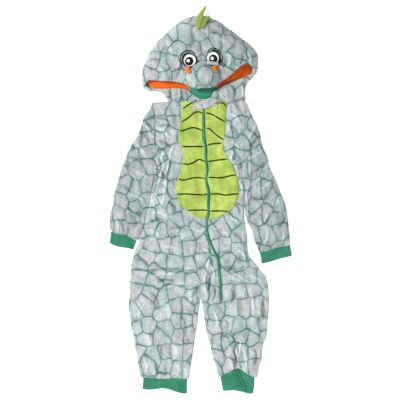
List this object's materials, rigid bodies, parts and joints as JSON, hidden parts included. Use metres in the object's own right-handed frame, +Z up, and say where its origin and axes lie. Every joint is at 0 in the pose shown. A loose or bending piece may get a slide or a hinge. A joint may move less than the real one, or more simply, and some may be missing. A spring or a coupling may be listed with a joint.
{
  "type": "child's hooded fleece jumpsuit, laid flat",
  "caption": "Hooded one-piece plush jumpsuit laid flat on its back, front up, with belly panel, long zip, ribbed cuffs and a padded hood front.",
  "frame": {"origin": "centre of the laid garment's outline, on the surface that it lies on", "axes": "+Z up out of the garment's front, +Y towards the hood, +X towards the wearer's left"},
  "size_m": [0.549, 1.159, 0.05],
  "materials": {
    "fleece": "plush fleece, grey-mint with a teal cell print",
    "belly": "short plush, lime with thin dark stripes",
    "rib": "green rib knit and jersey",
    "lining": "orange jersey",
    "eye": "white and dark applied cloth",
    "felt": "lime felt",
    "zip": "green coil zip",
    "plastic": "white press-stud ring"
  },
  "bodies": {
    "root": {"front_right": "fleece", "front_left": "fleece", "back_right": "fleece", "back_left": "fleece", "sleeve_right": "fleece", "sleeve_left": "fleece", "hood_right": "fleece", "hood_left": "fleece", "muzzle": "fleece", "neck_tab": "fleece", "belly_right": "belly", "belly_left": "belly", "wrist_cuff_right": "rib", "wrist_cuff_left": "rib", "ankle_cuff_right": "rib", "ankle_cuff_left": "rib", "neck_facing": "rib", "lining_right": "lining", "lining_left": "lining", "cheek_right": "lining", "cheek_left": "lining", "eye_right": "eye", "eye_left": "eye", "crest_spike_long": "felt", "crest_spike_short": "felt", "zip": "zip", "press_stud": "plastic"}
  },
  "joints": []
}
